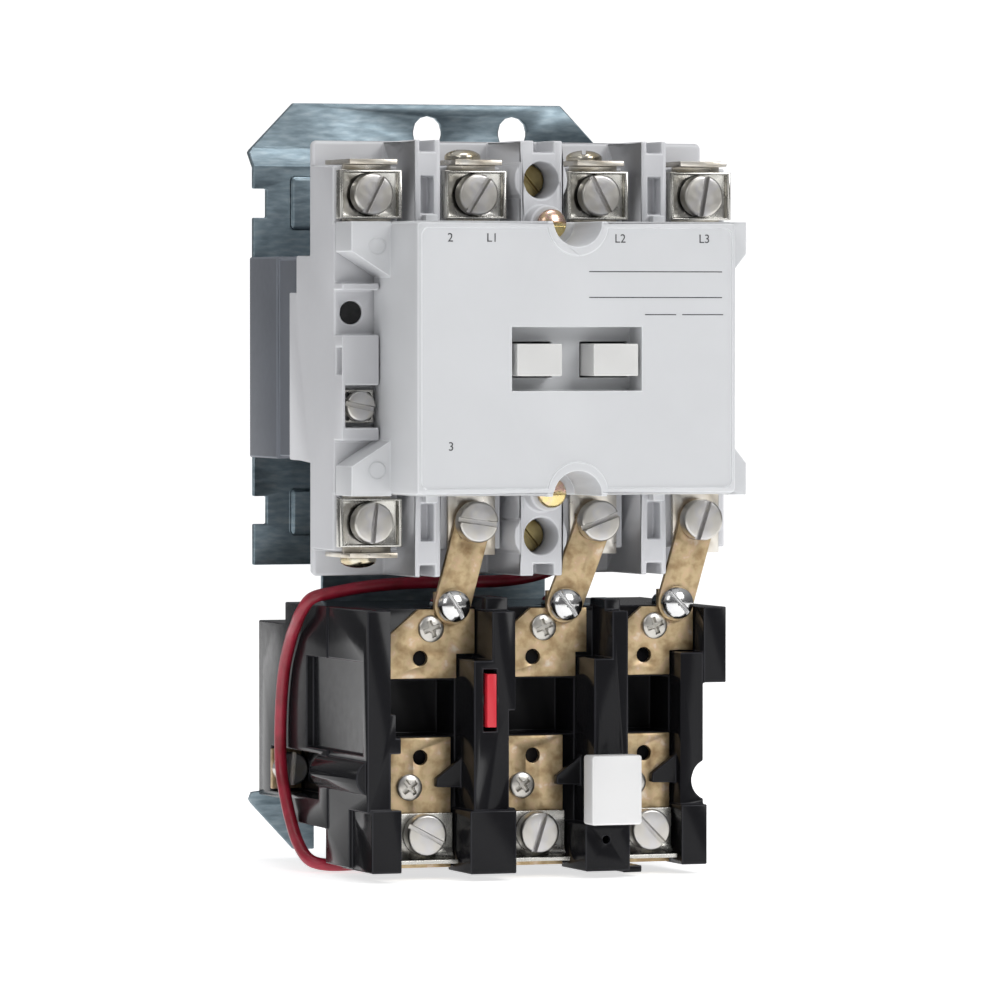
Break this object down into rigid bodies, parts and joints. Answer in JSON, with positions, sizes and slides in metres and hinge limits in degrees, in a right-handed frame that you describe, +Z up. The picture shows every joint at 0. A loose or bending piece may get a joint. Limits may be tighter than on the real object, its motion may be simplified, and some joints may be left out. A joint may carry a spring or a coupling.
{
  "type": "magnetic motor starter",
  "caption": "Open panel-mount motor starter: a contactor with screw terminals and a deep cover over a thermal overload relay with a reset button, on one steel plate.",
  "frame": {"origin": "middle of the mounting plate, in the plane that rests on the panel", "axes": "+Z up, -Y out of the panel towards the person who faces it, +X to their right"},
  "size_m": [0.1041, 0.112, 0.1934],
  "materials": {
    "zinc_plate": "bright zinc plating over rolled sheet",
    "grey_moulding": "light grey thermoset moulding",
    "cover_moulding": "light grey moulding, fine satin",
    "magnet_moulding": "dark blue-grey moulding",
    "carrier_moulding": "off-white moulding",
    "relay_moulding": "black thermoset moulding, satin to gloss",
    "coil_wrap": "varnished coil tape",
    "core_steel": "ground laminated silicon steel",
    "contact_copper": "bare copper alloy strip",
    "nickel": "dull nickel plating",
    "bright_steel": "bright plated steel",
    "yellow_zinc": "yellow zinc chromate over steel",
    "tinned_brass": "mottled tinned brass, slightly tarnished",
    "spring_steel": "plain spring wire",
    "white_button": "white moulding",
    "red_lever": "red moulding",
    "red_insulation": "dark red wire insulation"
  },
  "bodies": {
    "frame": {"coil": "coil_wrap", "coil_lead": "red_insulation", "coil_screw": "nickel", "contactor_housing": "grey_moulding", "cover_screw_lower": "yellow_zinc", "cover_screw_upper": "yellow_zinc", "fixed_core": "core_steel", "front_cover": "cover_moulding", "heater_plate_lower_1": "tinned_brass", "heater_plate_lower_2": "tinned_brass", "heater_plate_lower_3": "tinned_brass", "heater_plate_upper_1": "tinned_brass", "heater_plate_upper_2": "tinned_brass", "heater_plate_upper_3": "tinned_brass", "kickout_spring": "spring_steel", "line_contact_1": "nickel", "line_contact_2": "nickel", "line_contact_3": "nickel", "line_contact_aux": "nickel", "line_screw_1": "nickel", "line_screw_2": "nickel", "line_screw_3": "nickel", "line_screw_aux": "nickel", "load_contact_1": "contact_copper", "load_contact_2": "contact_copper", "load_contact_3": "contact_copper", "load_contact_aux": "nickel", "load_screw_1": "nickel", "load_screw_2": "nickel", "load_screw_3": "nickel", "load_screw_aux": "nickel", "magnet_base": "magnet_moulding", "motor_screw_1": "nickel", "motor_screw_2": "nickel", "motor_screw_3": "nickel", "mounting_plate": "zinc_plate", "nc_contact_plate": "nickel", "nc_contact_screw": "nickel", "overload_base": "relay_moulding", "pressure_plate_line_1": "nickel", "pressure_plate_line_2": "nickel", "pressure_plate_line_3": "nickel", "pressure_plate_line_aux": "nickel", "pressure_plate_load_aux": "nickel", "reset_spring": "spring_steel", "strap_1": "tinned_brass", "strap_2": "tinned_brass", "strap_3": "tinned_brass", "strap_screw_1": "bright_steel", "strap_screw_2": "bright_steel", "strap_screw_3": "bright_steel"},
    "carrier": {"contact_carrier": "carrier_moulding", "armature": "core_steel", "moving_contact_1": "contact_copper", "moving_contact_2": "contact_copper", "moving_contact_3": "contact_copper", "moving_contact_aux": "contact_copper"},
    "reset": {"reset_button": "white_button"},
    "lever": {"trip_lever": "red_lever"},
    "trip": {"trip_bar": "white_button"}
  },
  "joints": [
    {"name": "carrier_stroke", "type": "slide", "parent": "frame", "child": "carrier", "axis": [0, 1, 0], "range_m": [0, 0.0045], "stiffness_N_per_m": 900, "springref_m": -0.006, "deforming": ["kickout_spring"]},
    {"name": "reset_press", "type": "slide", "parent": "frame", "child": "reset", "axis": [0, 1, 0], "range_m": [0, 0.004], "stiffness_N_per_m": 700, "springref_m": -0.003, "deforming": ["reset_spring"]},
    {"name": "trip_lever_rock", "type": "hinge", "parent": "frame", "child": "lever", "pos_m": [-0.0156, -0.088, -0.0533], "axis": [1, 0, 0], "range_deg": [-7, 7]},
    {"name": "trip_bar_turn", "type": "hinge", "parent": "frame", "child": "trip", "pos_m": [0, -0.05, -0.0555], "axis": [1, 0, 0], "range_deg": [-7.5, 7.5]}
  ],
  "couplings": [
    {"joint": "trip_bar_turn", "follows": "trip_lever_rock", "ratio": -1}
  ]
}
